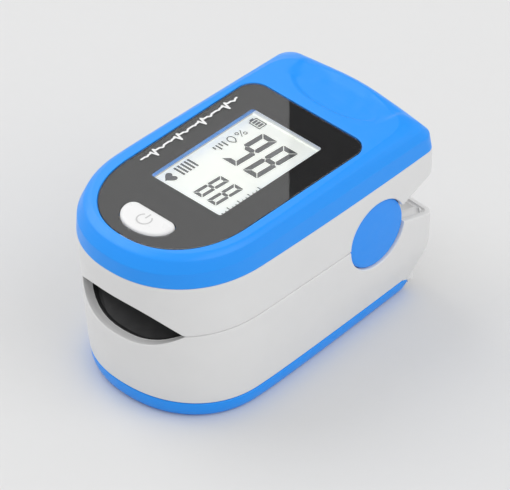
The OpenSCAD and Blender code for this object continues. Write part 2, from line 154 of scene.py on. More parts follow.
# Insets of the outer skin at each height: height, sides, front, back, extra at the hinge end's
# sides, then the corner radius and the bow of the hinge end where they aren't CORNER_R and BOW
UPPER_LEVELS = [
    (16.0, 0.2, 1.3, 0.1, 0.1),
    (SEAM_Z, 0.2, 1.2, 0.1, 0.1),
    (23, 0.1, 0.7, 0.0, 0.1),
    (28, 0.0, 0.0, 0.0, 0.1),
    (CREASE_Z, 0.1, 0.15, 0.1, 0.2, 2.3, 0.6),
    (TOP_Z - 1.4, 0.52, 1.02, 0.5, 0.5, 3.0, 1.0),
    (TOP_Z - 0.6, 0.8, 1.6, 0.9, 0.9, 4.2, 1.5),
    (TOP_Z, 1.6, 2.9, 1.8, 1.3, 4.8, 1.7),
]
LOWER_LEVELS = [
    (0, 1.55, 4.7, 4.6, 1.7),
    (0.4, 0.95, 4.1, 4.1, 1.65),
    (1.5, 0.6, 3.6, 3.4, 1.6),
    (4, 0.45, 3.1, 2.1, 1.35),
    (5.5, 0.42, 2.8, 1.3, 0.95),
    (7.5, 0.37, 2.5, 0.45, 0.4),
    (9.5, 0.3, 2.3, 0.12, 0.15),
    (14, 0.2, 1.7, 0.0, 0.1),
    (SEAM_Z + 2, 0.2, 1.2, 0.0, 0.1),
]

# Columns of the outline: round the nose, along the side, round the hinge end
NOSE_STEPS = 60
REAR_STEPS = 46
SIDE_END_Y = DOOR_END + DOOR_GAP


def side_stations():
    """Where the columns stand along the side, closest together at the hinge cover's two ends."""
    front = np.linspace(NOSE_Y, HINGE_Y - POCKET_R, 26)[1:-1]
    turn = np.radians(np.linspace(180, 0, 45))
    round_cover = HINGE_Y + POCKET_R * np.cos(turn)
    end = DOOR_END - DOOR_CORNER_R
    rear = np.radians(np.linspace(90, 0, 12))
    round_door = end + (DOOR_CORNER_R + DOOR_GAP) * np.cos(rear)
    return np.concatenate([front, round_cover, round_door])


SIDE_F = (side_stations() - NOSE_Y) / (SIDE_END_Y - NOSE_Y)


# ---- camera


AZIMUTH = math.radians(43.32)
ELEVATION = math.radians(38.8)
TO_CAMERA = (
    math.sin(AZIMUTH) * math.cos(ELEVATION),
    -math.cos(AZIMUTH) * math.cos(ELEVATION),
    math.sin(ELEVATION),
)


def make_camera():
    """The photograph's viewing angle: from the front right, a little under 40 degrees up."""
    distance = 1.4725
    aim = Vector((8.08, -4.56, 23.47)) * MM
    back = Vector(TO_CAMERA)
    camera = bpy.data.cameras.new("camera")
    camera.lens = 646.0
    camera.sensor_width = 36.0
    camera.clip_end = 10.0
    obj = bpy.data.objects.new("camera", camera)
    obj.location = aim + distance * back
    obj.rotation_euler = (-back).to_track_quat("-Z", "Y").to_euler()
    bpy.context.scene.collection.objects.link(obj)
    bpy.context.scene.camera = obj


# ---- outlines


def ease(points, before=0.35, limit=9.0, steps=5):
    """A line of points, or of whole rings, with each inner corner rounded by a parabola."""
    points = np.asarray(points, float)
    out = [points[0]]
    for last, here, following in zip(points, points[1:], points[2:]):
        into, onward = here - last, following - here
        a = here - into * min(before, limit / max(np.linalg.norm(into), 1e-9))
        b = here + onward * min(before, limit / max(np.linalg.norm(onward), 1e-9))
        for t in np.linspace(0, 1, steps):
            out.append((1 - t) ** 2 * a + 2 * t * (1 - t) * here + t**2 * b)
    out.append(points[-1])
    return np.array(out)


def along(line, fractions):
    """Points at those fractions of a line's length."""
    reach = np.concatenate([[0], np.cumsum(np.linalg.norm(np.diff(line, axis=0), axis=1))])
    at = np.asarray(fractions) * reach[-1]
    return np.column_stack([np.interp(at, reach, line[:, i]) for i in range(line.shape[1])])


def outline(half, nose, end, pinch=0.0, nose_y=NOSE_Y, n=NOSE_N, corner=CORNER_R, bow=BOW,
            side_end=SIDE_END_Y, side=SIDE_F):
    """A closed plan outline, anticlockwise from the middle of the nose: a superellipse nose, two
    sides that may narrow towards the hinge end, round corners and a slightly bowed back. The
    columns along the side end at side_end, or on the corner's arc where the back comes sooner."""
    turn = np.radians(np.linspace(90, 0, NOSE_STEPS + 1))
    front = np.column_stack([
        half * np.cos(turn).clip(0) ** (2 / n),
        nose_y - nose * np.sin(turn) ** (2 / n),
    ])
    cx, cy = half - pinch - corner, end - bow - corner
    side_end = min(side_end, cy + 0.95 * corner)
    y = nose_y + side * (side_end - nose_y)
    straight = half - pinch * ((y - PINCH_Y).clip(0) / (cy - PINCH_Y)) ** PINCH_N
    rounded = cx + np.sqrt(corner**2 - (y - cy).clip(0, corner) ** 2)
    flank = np.column_stack([np.where(y > cy, rounded, straight), y])
    start = math.asin(min(max((side_end - cy) / corner, 0), 1))
    arc = np.linspace(start, math.pi / 2, 30)
    x = np.linspace(cx, 0, 30)[1:]
    rear = np.concatenate([
        flank[-1:] if len(flank) else front[-1:],
        np.column_stack([cx + corner * np.cos(arc), cy + corner * np.sin(arc)]),
        np.column_stack([x, end - bow * (x / cx) ** 2]),
    ])
    steps = np.concatenate([[0.004], np.arange(1, REAR_STEPS + 1) / REAR_STEPS])
    right = np.concatenate([front, flank, along(rear, steps)])
    left = right[-2:0:-1] * [-1, 1]
    return np.concatenate([right, left])


def lens_outline(grow=0.0):
    return outline(
        LENS_HIGH[0] + grow, LENS_NOSE_Y - LENS_LOW[1] + grow, LENS_HIGH[1] + grow,
        nose_y=LENS_NOSE_Y, corner=LENS_CORNER_R + grow, bow=0, side_end=13.9,
    )


def button_outline(grow=0.0):
    half = BUTTON_HIGH[0] - BUTTON_FLANGE + grow
    front, back = BUTTON_LOW[1] + BUTTON_FLANGE - grow, BUTTON_HIGH[1] - BUTTON_FLANGE + grow
    return outline(
        half, BUTTON_NOSE_Y - front, back, nose_y=BUTTON_NOSE_Y, n=BUTTON_N,
        corner=BUTTON_CORNER_R + grow, bow=0, side_end=BUTTON_NOSE_Y, side=SIDE_F[:0],
    )


def inward(xy):
    """Unit vectors that point into a closed anticlockwise outline."""
    step = np.roll(xy, -1, 0) - np.roll(xy, 1, 0)
    normal = np.column_stack([-step[:, 1], step[:, 0]])
    return normal / np.linalg.norm(normal, axis=1, keepdims=True)


class Skin:
    """The outer surface of a shell: one point for each column of the outline at each height."""

    def __init__(self, levels, soften=0.35, side_end=SIDE_END_Y):
        rows = ease([(*level, CORNER_R, BOW)[:7] for level in levels], soften)
        rows = rows[np.concatenate([[True], np.diff(rows[:, 0]) > 1e-6])]
        self.z = rows[:, 0]
        self.xy = np.array([
            outline(BODY_HALF - side, NOSE_Y + TAIL_Y - front, TAIL_Y - back, pinch, corner=corner,
                    bow=bow, side_end=side_end)
            for _, side, front, back, pinch, corner, bow in rows
        ])

    def at(self, z):
        z = np.clip(z, self.z[0], self.z[-1])
        k = np.clip(np.searchsorted(self.z, z) - 1, 0, len(self.z) - 2)
        f = ((z - self.z[k]) / (self.z[k + 1] - self.z[k]))[:, None]
        column = np.arange(len(z))
        return self.xy[k, column] * (1 - f) + self.xy[k + 1, column] * f

    def ring(self, height, inset=0.0, lift=0.0):
        """Where the surface z = height(x, y) + lift meets the skin, set in by inset."""
        z = np.full(self.xy.shape[1], self.z.mean())
        for _ in range(8):
            xy = self.at(z)
            xy = xy + inset * inward(xy)
            z = height(xy[:, 0], xy[:, 1]) + lift
        return np.column_stack([xy, z])

    def level(self, z, inset=0.0):
        return self.ring(lambda x, y: 0 * x + z, inset)


# ---- edges of the shells


def mouth(x, y, rise):
    """How far the arch of the finger channel stands off the seam."""
    return np.where(y < 0, rise * (1 - np.abs(x / MOUTH_HALF) ** MOUTH_N).clip(0), 0)


def cover_reach(y, radius):
    return np.sqrt((radius**2 - (y - HINGE_Y) ** 2).clip(0))


def parting(x, y):
    """Where the coloured cover meets the upper shell."""
    return TOP_Z - PARTING_DROP + PARTING_BOW * ((y - PARTING_Y) / PARTING_L) ** 2


def tail(y, start_y, start_z, slope):
    return start_z + slope * (y - start_y)


def upper_low(x, y):
    """The upper shell's low edge: the seam with its arch, over the hinge cover, up the tail."""
    z = SEAM_Z + SEAM_GAP + mouth(x, y, MOUTH_RISE)
    reach = cover_reach(y, POCKET_R)
    z = np.where(reach > 0, np.maximum(z, HINGE_Z + reach), z)
    return np.maximum(z, tail(y, *UPPER_TAIL))


def lower_high(x, y):
    """The lower shell's high edge: the seam with its arch, under the hinge cover, down the tail."""
    z = SEAM_Z - SEAM_GAP - mouth(x, y, MOUTH_DIP)
    reach = cover_reach(y, POCKET_R)
    z = np.where(reach > 0, np.minimum(z, HINGE_Z - reach), z)
    return np.minimum(z, tail(y, *LOWER_TAIL))


def door_high(x, y, gap=0.0):
    """The door's upper edge: it climbs round the nose and ends in a round corner."""
    r = DOOR_CORNER_R + gap
    z = DOOR_EDGE_Z + DOOR_CLIMB * ((CLIMB_Y - y).clip(0) / CLIMB_L) ** 2 + gap
    past = (y - (DOOR_END - DOOR_CORNER_R)).clip(0, r)
    return z - r + np.sqrt(r**2 - past**2)


def lower_low(x, y):
    """The lower shell's low edge: above the door along the sides, on the table behind it."""
    column = np.arange(len(x))
    last = NOSE_STEPS + len(SIDE_F)
    behind = (column > last) & (column < len(x) - last)
    return np.where(behind, 0.0, door_high(x, y, DOOR_GAP))


# ---- meshes


def flat_ring(xy, z):
    return np.column_stack([xy, np.full(len(xy), z)])


class Mesh:
    """Points and faces of one piece, gathered from several closed forms."""

    def __init__(self):
        self.points, self.faces, self.slots = [], [], []

    def add(self, points, faces, slot=0):
        base = len(self.points)
        self.points += [tuple(p) for p in points]
        self.faces += [[base + i for i in face] for face in faces]
        self.slots += [slot] * len(faces)
        return self

    def loft(self, rings, around=True, through=False, caps=True, slot=0):
        """Quads between rings of points. around closes each ring, through joins the last ring to
        the first, and caps fills the first and the last."""
        rings = np.asarray(rings, float)
        count, n = rings.shape[:2]
        faces = []
        for i in range(count if through else count - 1):
            a, b = i * n, (i + 1) % count * n
            for j in range(n if around else n - 1):
                k = (j + 1) % n
                faces.append([a + j, a + k, b + k, b + j])
        if caps and not through:
            faces += [list(range(n))[::-1], [(count - 1) * n + j for j in range(n)]]
        return self.add(rings.reshape(-1, 3), faces, slot)

    def plate(self, xy, profile):
        """An outline lifted through a profile of (inset, z) pairs."""
        normal = inward(xy)
        return self.loft([flat_ring(xy + d * normal, z) for d, z in profile])

    def lathe(self, profile, centre, axis="x", steps=96):
        """A profile of (radius, along) pairs turned round an axis through centre."""
        turn = np.linspace(0, 2 * math.pi, steps, endpoint=False)
        rings = []
        for r, at in profile:
            a, b, c = np.full(steps, at), r * np.cos(turn), r * np.sin(turn)
            rings.append(np.column_stack({"x": (a, b, c), "y": (c, a, b), "z": (b, c, a)}[axis]))
        return self.loft(np.array(rings) + np.asarray(centre, float))

    def block(self, low, high, radius=0.1):
        """A box with rounded edges."""
        low, high = np.asarray(low, float), np.asarray(high, float)
        radius = min(radius, 0.45 * float((high - low).min()))
        bm = bmesh.new()
        bmesh.ops.create_cube(bm, size=1)
        for v in bm.verts:
            v.co = Vector((low + high) / 2 + np.array(v.co) * (high - low))
        bmesh.ops.bevel(
            bm, geom=bm.edges[:], offset=radius, segments=3, profile=0.5, affect="EDGES")
        bm.verts.index_update()
        self.add([v.co[:] for v in bm.verts], [[v.index for v in f.verts] for f in bm.faces])
        bm.free()
        return self

    def wire(self, path, radius, sides=12):
        """A round wire along a path of points."""
        path = np.asarray(path, float)
        along_path = np.gradient(path, axis=0)
        along_path /= np.linalg.norm(along_path, axis=1, keepdims=True)
        side = np.array([1.0, 0.0, 0.0])
        turn = np.linspace(0, 2 * math.pi, sides, endpoint=False)
        rings = []
        for point, d in zip(path, along_path):
            side = side - d * (side @ d)
            if np.linalg.norm(side) < 1e-3:
                side = np.cross(d, [0.0, 1.0, 0.0])
            side /= np.linalg.norm(side)
            other = np.cross(d, side)
            around = np.outer(np.cos(turn), side) + np.outer(np.sin(turn), other)
            rings.append(point + radius * around)
        return self.loft(rings)

    def make(self, name, *materials, sharp=35):
        """The finished object, smooth where its faces meet at less than the sharp angle."""
        mesh = bpy.data.meshes.new(name)
        mesh.from_pydata([(x * MM, y * MM, z * MM) for x, y, z in self.points], [], self.faces)
        mesh.polygons.foreach_set("material_index", self.slots)
        bm = bmesh.new()
        bm.from_mesh(mesh)
        bmesh.ops.remove_doubles(bm, verts=bm.verts[:], dist=2e-6)
        bmesh.ops.recalc_face_normals(bm, faces=bm.faces[:])
        bm.to_mesh(mesh)
        bm.free()
        for m in materials:
            mesh.materials.append(m)
        obj = bpy.data.objects.new(name, mesh)
        bpy.context.scene.collection.objects.link(obj)
        smooth(obj, sharp)
        return obj


def smooth(obj, sharp=35):
    """Smooth shading, with broad flat faces left flat so that they reflect as mirrors do."""
    mesh = obj.data
    broad = 5 * MM**2
    mesh.polygons.foreach_set("use_smooth", [face.area < broad for face in mesh.polygons])
    mesh.set_sharp_from_angle(angle=math.radians(sharp))


def boolean(obj, other, operation, sharp=35):
    """obj with other cut away or joined on, or only what they share."""
    modifier = obj.modifiers.new("cut", "BOOLEAN")
    modifier.operation = operation
    modifier.solver = "EXACT"
    modifier.object = other
    bpy.context.view_layer.update()
    evaluated = obj.evaluated_get(bpy.context.evaluated_depsgraph_get())
    obj.data = bpy.data.meshes.new_from_object(evaluated)
    obj.modifiers.clear()
    bpy.data.objects.remove(other)
    smooth(obj, sharp)
    return obj


def join(obj, *others):
    """One object out of several, with obj's name and each one's own materials."""
    mesh = bmesh.new()
    materials = []
    for o in (obj, *others):
        start = len(mesh.faces)
        mesh.from_mesh(o.data)
        mesh.faces.ensure_lookup_table()
        for face in mesh.faces[start:]:
            m = o.data.materials[face.material_index]
            if m not in materials:
                materials.append(m)
            face.material_index = materials.index(m)
    obj.data.materials.clear()
    for m in materials:
        obj.data.materials.append(m)
    mesh.to_mesh(obj.data)
    mesh.free()
    for o in others:
        bpy.data.objects.remove(o)
    return obj


def inner_copy(node, skin, low, high):
    """What a CAD node has inside its skin, for behind a rebuilt shell: posts, decks and ears."""
    inset = WALL - 0.02
    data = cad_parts[node].data.copy()
    data.materials.clear()
    data.materials.append(WHITE)
    mesh = bmesh.new()
    mesh.from_mesh(data)
    bmesh.ops.remove_doubles(mesh, verts=mesh.verts[:], dist=1e-6)
    mesh.to_mesh(data)
    mesh.free()
    obj = bpy.data.objects.new(node + "_inside", data)
    bpy.context.scene.collection.objects.link(obj)
    heights = [low, *(z for z in skin.z if low < z < high), high]
    rings = [skin.level(z, inset) for z in heights]
    clip = Mesh().loft(rings).make("clip", WHITE)
    return boolean(obj, clip, "INTERSECT", 30)


def piece(obj, body, slot, *nodes):
    """obj rides on a body and stands for those CAD nodes, which are hidden. slot is not used."""
    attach(obj, body)
    if nodes:
        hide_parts(*nodes)
    return obj


# ---- materials


def srgb(r, g, b):
    """A display colour from 0 to 255 as the linear colour that a shader takes."""
    return tuple(((c / 255 + 0.055) / 1.055) ** 2.4 for c in (r, g, b)) + (1.0,)


class Surface:
    """A procedural material, put together from noises in millimetres over an object's space."""

    def __init__(self, name, **sockets):
        self.material = bpy.data.materials.new(name)
        self.material.use_nodes = True
        self.nodes, self.links = self.material.node_tree.nodes, self.material.node_tree.links
        self.shader = self.nodes["Principled BSDF"]
        self.where = self.nodes.new("ShaderNodeTexCoord").outputs["Object"]
        for key, value in sockets.items():
            self.shader.inputs[key.replace("_", " ")].default_value = value

    def noise(self, feature, detail=2.0, stretch=(1, 1, 1)):
        mapping = self.nodes.new("ShaderNodeMapping")
        mapping.inputs["Scale"].default_value = stretch
        self.links.new(self.where, mapping.inputs["Vector"])
        node = self.nodes.new("ShaderNodeTexNoise")
        node.inputs["Scale"].default_value = 1 / (feature * MM)
        node.inputs["Detail"].default_value = detail
        self.links.new(mapping.outputs["Vector"], node.inputs["Vector"])
        return node.outputs["Fac"]

    def spread(self, factor, low, high, start=0.3, end=0.7):
        node = self.nodes.new("ShaderNodeMapRange")
        limits = {"From Min": start, "From Max": end, "To Min": low, "To Max": high}
        for key, value in limits.items():
            node.inputs[key].default_value = value
        self.links.new(factor, node.inputs["Value"])
        return node.outputs["Result"]

    def mix(self, factor, a, b):
        node = self.nodes.new("ShaderNodeMix")
        node.data_type = "RGBA"
        for key, value in (("A", a), ("B", b)):
            socket = next(s for s in node.inputs if s.name == key and s.type == "RGBA")
            if isinstance(value, tuple):
                socket.default_value = value
            else:
                self.links.new(value, socket)
        at = next(s for s in node.inputs if s.name == "Factor" and s.type == "VALUE")
        self.links.new(factor, at)
        return next(s for s in node.outputs if s.type == "RGBA")

    def colour(self, base, mottle=0.03, feature=5.0):
        """The base colour, a little lighter and darker from place to place."""
        dark = tuple(c * (1 - mottle) for c in base[:3]) + (1.0,)
        light = tuple(min(c * (1 + mottle), 1.0) for c in base[:3]) + (1.0,)
        self.links.new(self.mix(self.spread(self.noise(feature), 0, 1), dark, light),
                       self.shader.inputs["Base Color"])
        return self

    def gloss(self, rough, vary=0.15, feature=2.0):
        self.links.new(
            self.spread(self.noise(feature, 3), rough * (1 - vary), rough * (1 + vary)),
            self.shader.inputs["Roughness"],
        )
        return self

    def grain(self, depth, feature=0.18, detail=2.0, stretch=(1, 1, 1)):
        """A fine relief, depth millimetres deep."""
        bump = self.nodes.new("ShaderNodeBump")
        bump.inputs["Strength"].default_value = 1.0
        bump.inputs["Distance"].default_value = depth * MM
        self.links.new(self.noise(feature, detail, stretch), bump.inputs["Height"])
        self.links.new(bump.outputs["Normal"], self.shader.inputs["Normal"])
        return self


def plastic(name, colour, rough=0.4, grain=0.004, mottle=0.008, **sockets):
    return Surface(name, **sockets).colour(colour, mottle).gloss(rough).grain(grain).material


def metal(name, colour, rough=0.28, stretch=(1, 1, 1)):
    s = Surface(name, Metallic=1.0).colour(colour, 0.06, 2.0)
    return s.gloss(rough, 0.3, 0.8).grain(0.003, 0.12, 3, stretch).material


def rubber(name, colour):
    s = Surface(name, Sheen_Weight=0.05).colour(colour, 0.12, 3.0)
    return s.gloss(0.55, 0.12).grain(0.01, 0.15).material


def window_glass(name, rough, ior):
    """Clear and glossy, with the faintest smears."""
    s = Surface(name, Transmission_Weight=1.0, IOR=ior)
    return s.colour((0.97, 0.97, 0.97, 1), 0.01).gloss(rough, 0.3, 6.0).material


def lit_panel(name, colour, strength):
    """The display's pale field, lit from behind, a little uneven as a light guide is."""
    s = Surface(name).colour(colour, 0.015, 8.0).gloss(0.3)
    s.links.new(
        s.mix(s.spread(s.noise(14.0), 0, 1), tuple(c * 0.97 for c in colour[:3]) + (1.0,), colour),
        s.shader.inputs["Emission Color"],
    )
    s.shader.inputs["Emission Strength"].default_value = strength
    return s.material


def circuit_board(name):
    """Green solder mask over copper tracks."""
    s = Surface(name).gloss(0.35)
    tracks = s.nodes.new("ShaderNodeTexBrick")
    tracks.inputs["Scale"].default_value = 1 / (2.4 * MM)
    tracks.inputs["Mortar Size"].default_value = 0.035
    tracks.inputs["Color1"].default_value = srgb(22, 92, 58)
    tracks.inputs["Color2"].default_value = srgb(26, 100, 62)
    tracks.inputs["Mortar"].default_value = srgb(46, 132, 84)
    s.links.new(s.where, tracks.inputs["Vector"])
    s.links.new(tracks.outputs["Color"], s.shader.inputs["Base Color"])
    bump = s.nodes.new("ShaderNodeBump")
    bump.inputs["Distance"].default_value = 0.02 * MM
    s.links.new(tracks.outputs["Fac"], bump.inputs["Height"])
    s.links.new(bump.outputs["Normal"], s.shader.inputs["Normal"])
    return s.material


BLUE = plastic("blue_plastic", srgb(10, 150, 253), 0.36, 0.003)
WHITE = plastic("white_plastic", srgb(227, 227, 227), 0.42, 0.004)
BLUE_CAP = plastic("blue_cap_plastic", srgb(30, 148, 252), 0.4, 0.003)
# Painted shade: the raised power sign is the button's own white, and this grey stands in for the
# shading of its relief
SIGN_PAINTED_SHADE = plastic("sign_painted_shade", srgb(196, 196, 196), 0.4, 0.001)
FLOOR = plastic("floor_paper", srgb(221, 221, 221), 0.9, 0.0005, 0.001)
BUTTON_WHITE = plastic("button_plastic", srgb(236, 236, 236), 0.3, 0.002)
RUBBER = rubber("black_rubber", srgb(30, 30, 32))
WINDOW = window_glass("window_plastic", 0.012, 1.46)
PRINT_BLACK = plastic("print_black", srgb(20, 20, 22), 0.5, 0.0003, Specular_IOR_Level=0.0)
PRINT_WHITE = plastic("print_white", srgb(240, 240, 240), 0.5, 0.001)
LCD_FIELD = lit_panel("lcd_field", srgb(243, 246, 239), 0.5)
LCD_INK = plastic("lcd_ink", srgb(96, 99, 100), 0.4, 0.001)
INNER = plastic("inner_plastic", srgb(205, 206, 210), 0.5, 0.006)
GUIDE = plastic("light_guide", srgb(236, 244, 250), 0.25, 0.002)
PINK_RUBBER = rubber("conductive_rubber", srgb(206, 142, 158))
BOARD = circuit_board("circuit_board")
CHIP = plastic("chip_resin", srgb(38, 38, 41), 0.6, 0.008)
TIN = metal("bright_tin", srgb(206, 208, 210), 0.3)
STEEL = metal("spring_steel", srgb(176, 180, 186), 0.26, (1, 6, 6))
GOLD = metal("gold_plate", srgb(222, 186, 104), 0.25)
CERAMIC = plastic("ceramic", srgb(186, 158, 116), 0.55, 0.004)
LED_PACK = plastic("led_package", srgb(226, 96, 82), 0.3, 0.002)
SENSOR_GLASS = plastic("sensor_window", srgb(118, 44, 46), 0.14, 0.001, Coat_Weight=0.6)
DARK_GLASS = plastic("detector_window", srgb(60, 58, 66), 0.14, 0.001, Coat_Weight=0.6)
FILM = plastic("cable_film", srgb(206, 138, 44), 0.35, 0.002)
JACKET = plastic("cell_jacket", srgb(52, 60, 74), 0.32, 0.002)
JACKET_BAND = plastic("cell_band", srgb(196, 132, 62), 0.3, 0.002)


# ---- shells

UPPER_SKIN = Skin(UPPER_LEVELS, 0.07)
LOWER_SKIN = Skin(LOWER_LEVELS)
SEAM_R = 0.1
ROUND = [(1 - math.cos(a), 1 - math.sin(a)) for a in np.radians(np.linspace(90, 0, 5))]


def outer_rows(skin, low, high, rows, low_r=EDGE_R, high_r=EDGE_R):
    """A wall's outer face from its low edge to its high edge, both rounded."""
    rings = [skin.ring(low, low_r * d, low_r * h) for d, h in ROUND]
    for f in np.linspace(0, 1, rows)[1:-1]:
        rings.append(skin.ring(
            lambda x, y, f=f: (low(x, y) + low_r) * (1 - f) + (high(x, y) - high_r) * f))
    return rings + [skin.ring(high, high_r * d, -high_r * h) for d, h in ROUND[::-1]]


def inner_rows(skin, low, high, r=0.15):
    """The inner face of the same wall, from the high edge to the low edge."""
    down = [skin.ring(high, WALL - r * d, -r * h) for d, h in ROUND]
    up = [skin.ring(low, WALL - r * d, r * h) for d, h in ROUND[::-1]]
    return down + up


def step(value):
    """A smooth step from 0 to 1."""
    value = np.clip(value, 0, 1)
    return value**2 * (3 - 2 * value)


def thumb_hollow(points):
    """Sinks the cover's top face a little behind the window, with two low ribs for grip."""
    x, y, z = points[..., 0], points[..., 1], points[..., 2]
    half, length, middle = 11.0, 8.7, 28.0
    edge_drop, bowl_drop, rib_h, rib_r = 0.22, 0.12, 0.14, 0.34
    reach = (np.abs(x) / half) ** 2.5 + ((middle - y).clip(0) / length) ** 2.5
    inside = (1 - reach**0.4).clip(0)
    depth = edge_drop * step(inside * 11) + bowl_drop * step(inside / 0.7)
    for rib_y, rib_half in ((23.6, 5.2), (27.0, 3.6)):
        across = np.exp(-(((y - rib_y - 0.012 * x**2) / rib_r) ** 2))
        depth = depth - rib_h * across / (1 + np.exp((np.abs(x) - rib_half) / 0.25))
    depth = depth * (0.35 + 0.65 * step((28.4 - y) / 2))
    out = points.copy()
    out[..., 2] = z - depth * step((z - (TOP_Z - 1.6)) / 1.5) * (y > LENS_HIGH[1])
    return out


def make_cover():
    """The coloured cover: a band, a crease, a sloped shoulder, a flat top and the window's seat."""
    low = lambda x, y: parting(x, y) + PARTING_GAP
    band = [UPPER_SKIN.ring(low, SEAM_R * d, SEAM_R * h) for d, h in ROUND]
    start = CREASE_Z - 0.8
    for f in np.linspace(0, 1, 8)[1:]:
        band.append(UPPER_SKIN.ring(lambda x, y, f=f: (low(x, y) + SEAM_R) * (1 - f) + start * f))
    slope_end = TOP_Z - 1.1
    band += [UPPER_SKIN.level(z) for z in UPPER_SKIN.z if start + 0.05 < z < slope_end - 0.05]
    gap, seat_r = 0.1, 0.14
    seat_edge = flat_ring(lens_outline(gap + seat_r), TOP_Z)
    rim = UPPER_SKIN.level(TOP_Z)
    across = seat_edge - rim
    width = np.linalg.norm(across, axis=1, keepdims=True)
    landing = rim + across * np.minimum(0.7, 0.5 * width) / width
    shoulder = [UPPER_SKIN.level(slope_end), UPPER_SKIN.level(TOP_Z - 0.6)]
    brow = ease([*shoulder, rim, landing, seat_edge], 0.45, 1e9, 7)[:-1]
    top = [brow[-1] * (1 - f) + seat_edge * f for f in np.linspace(0, 1, 50)[1:-1]]
    seat = [flat_ring(lens_outline(gap + seat_r * d), TOP_Z - seat_r * h) for d, h in ROUND]
    floor_z = MASK_LOW[2]
    under = [flat_ring(lens_outline(gap), floor_z), flat_ring(lens_outline(-1.5), floor_z),
             flat_ring(lens_outline(-1.5), ROOF_Z), UPPER_SKIN.level(TOP_Z - 3.4, WALL + 0.2)]
    under += [UPPER_SKIN.ring(low, WALL - SEAM_R * d, SEAM_R * h) for d, h in ROUND[::-1]]
    rings = np.array([*band, *brow, *top, *seat, *under])
    cover = Mesh().loft(thumb_hollow(rings), through=True).make("upper_cover", BLUE, sharp=50)
    ledge = Mesh().plate(lens_outline(-1.0), [(0, WELL_Z), (0, floor_z - 0.02)])
    ledge = ledge.make("ledge", BLUE)
    spare = 0.06
    opening = Mesh().block((-VIEW_X - spare, VIEW_Y - VIEW_HALF_L - spare, ROOF_Z - 2),
                           (VIEW_X + spare, VIEW_Y + VIEW_HALF_L + 0.9, TOP_Z + 2), 0.2)
    boolean(ledge, opening.make("opening", BLUE), "DIFFERENCE")
    way = Mesh().plate(button_outline(0.2), [(0, ROOF_Z - 2), (0, TOP_Z + 2)])
    boolean(ledge, way.make("way", BLUE), "DIFFERENCE")
    return piece(join(cover, ledge), "upper", "blue_shell", "upper_cover")


def make_upper_shell():
    high = lambda x, y: parting(x, y) - PARTING_GAP
    rings = outer_rows(UPPER_SKIN, upper_low, high, 14, EDGE_R, SEAM_R)
    rings += inner_rows(UPPER_SKIN, upper_low, high)
    shell = Mesh().loft(rings, through=True).make("upper_shell", WHITE, sharp=50)
    inside = inner_copy("upper_shell", UPPER_SKIN, 12, 29)
    return piece(join(shell, inside), "upper", "white_shell", "upper_shell")


def make_lower_shell():
    """The lower shell, with the sunk panel that a narrow rim frames behind the hinge. What the CAD
    node has inside it leaves room for the door's lip and end."""
    drop, floor = 0.49, 0.6
    rings = outer_rows(LOWER_SKIN, lower_low, lower_high, 22)
    behind = HINGE_Y + POCKET_R - 0.01
    for inset, share in ((0.86, 0), (0.94, 0.08), (1.0, 0.5), (1.06, 0.92), (1.14, 1), (WALL, 1)):
        rings.append(LOWER_SKIN.ring(
            lambda x, y, share=share: lower_high(x, y) - drop * share * (y > behind), inset))
    rings += inner_rows(LOWER_SKIN, lower_low, lambda x, y: lower_high(x, y) - floor)[5:]
    shell = Mesh().loft(rings, through=True).make("lower_shell", WHITE, sharp=50)
    inside = inner_copy("lower_shell", LOWER_SKIN, -1, 25)
    room_z, lip_x, lip_half = DOOR_EDGE_Z + DOOR_GAP, 15, 2
    rooms = [((-BODY_HALF, 22, -1), (BODY_HALF, SIDE_END_Y, room_z))]
    rooms += [((s * lip_x - lip_half, -13, 2), (s * lip_x + lip_half, SIDE_END_Y, room_z))
              for s in (-1, 1)]
    for near, far in rooms:
        boolean(inside, Mesh().block(near, far, 0.05).make("door_room", WHITE), "DIFFERENCE", 30)
    return piece(join(shell, inside), "lower", "white_shell", "lower_shell")


def make_door():
    """The sliding door: a tray whose lip wraps round the sides and the nose, with two rails."""
    last = NOSE_STEPS + len(SIDE_F)
    opened = lambda ring: np.concatenate([ring[last::-1], ring[:-last - 1:-1]])
    skin = Skin(LOWER_LEVELS, side_end=DOOR_END)
    inner = outline(13.2, 14.3, TAIL_Y, side_end=DOOR_END)
    lip = inner - 0.12 * inward(inner)
    lip_z = door_high(lip[:, 0], lip[:, 1])
    rings = [flat_ring(inner, DOOR_FLOOR), np.column_stack([inner, lip_z - 0.12]),
             np.column_stack([lip, lip_z])]
    rings += [skin.ring(door_high, EDGE_R * d, -EDGE_R * h) for d, h in ROUND]
    for f in np.linspace(0, 1, 18)[1:]:
        rings.append(skin.ring(lambda x, y, f=f: (door_high(x, y) - EDGE_R) * (1 - f) ** 1.5))
    rings = [opened(ring) for ring in rings]
    count, n = len(rings), len(rings[0])
    body = Mesh().loft(rings, around=False, caps=False)
    under = [(count - 1) * n + j for j in range(n)]
    end = [i * n for i in range(count)] + [i * n + n - 1 for i in reversed(range(count))]
    body.faces += [list(range(n)), under[::-1], end]
    body.slots += [0, 0, 0]
    door = body.make("battery_door", BLUE, sharp=50)
    for i in range(5):
        half, y, groove_r = (12 - 1.2 * i) / 2, -17 - 1.5 * i, 0.35
        groove = Mesh().block((-half, y - groove_r, -0.5), (half, y + groove_r, 0.3), 0.2)
        boolean(door, groove.make("groove", BLUE), "DIFFERENCE", 50)
    rails = Mesh()
    for s in (-1, 1):
        for x0, x1, z0 in ((11.0, 11.7, 1.0), (11.5, 12.3, 2.1)):
            rails.block((min(s * x0, s * x1), -12, z0), (max(s * x0, s * x1), 22, 2.75), 0.12)
    door = join(door, rails.make("rails", BLUE))
    return piece(door, "battery_door", "blue_shell", "battery_door")


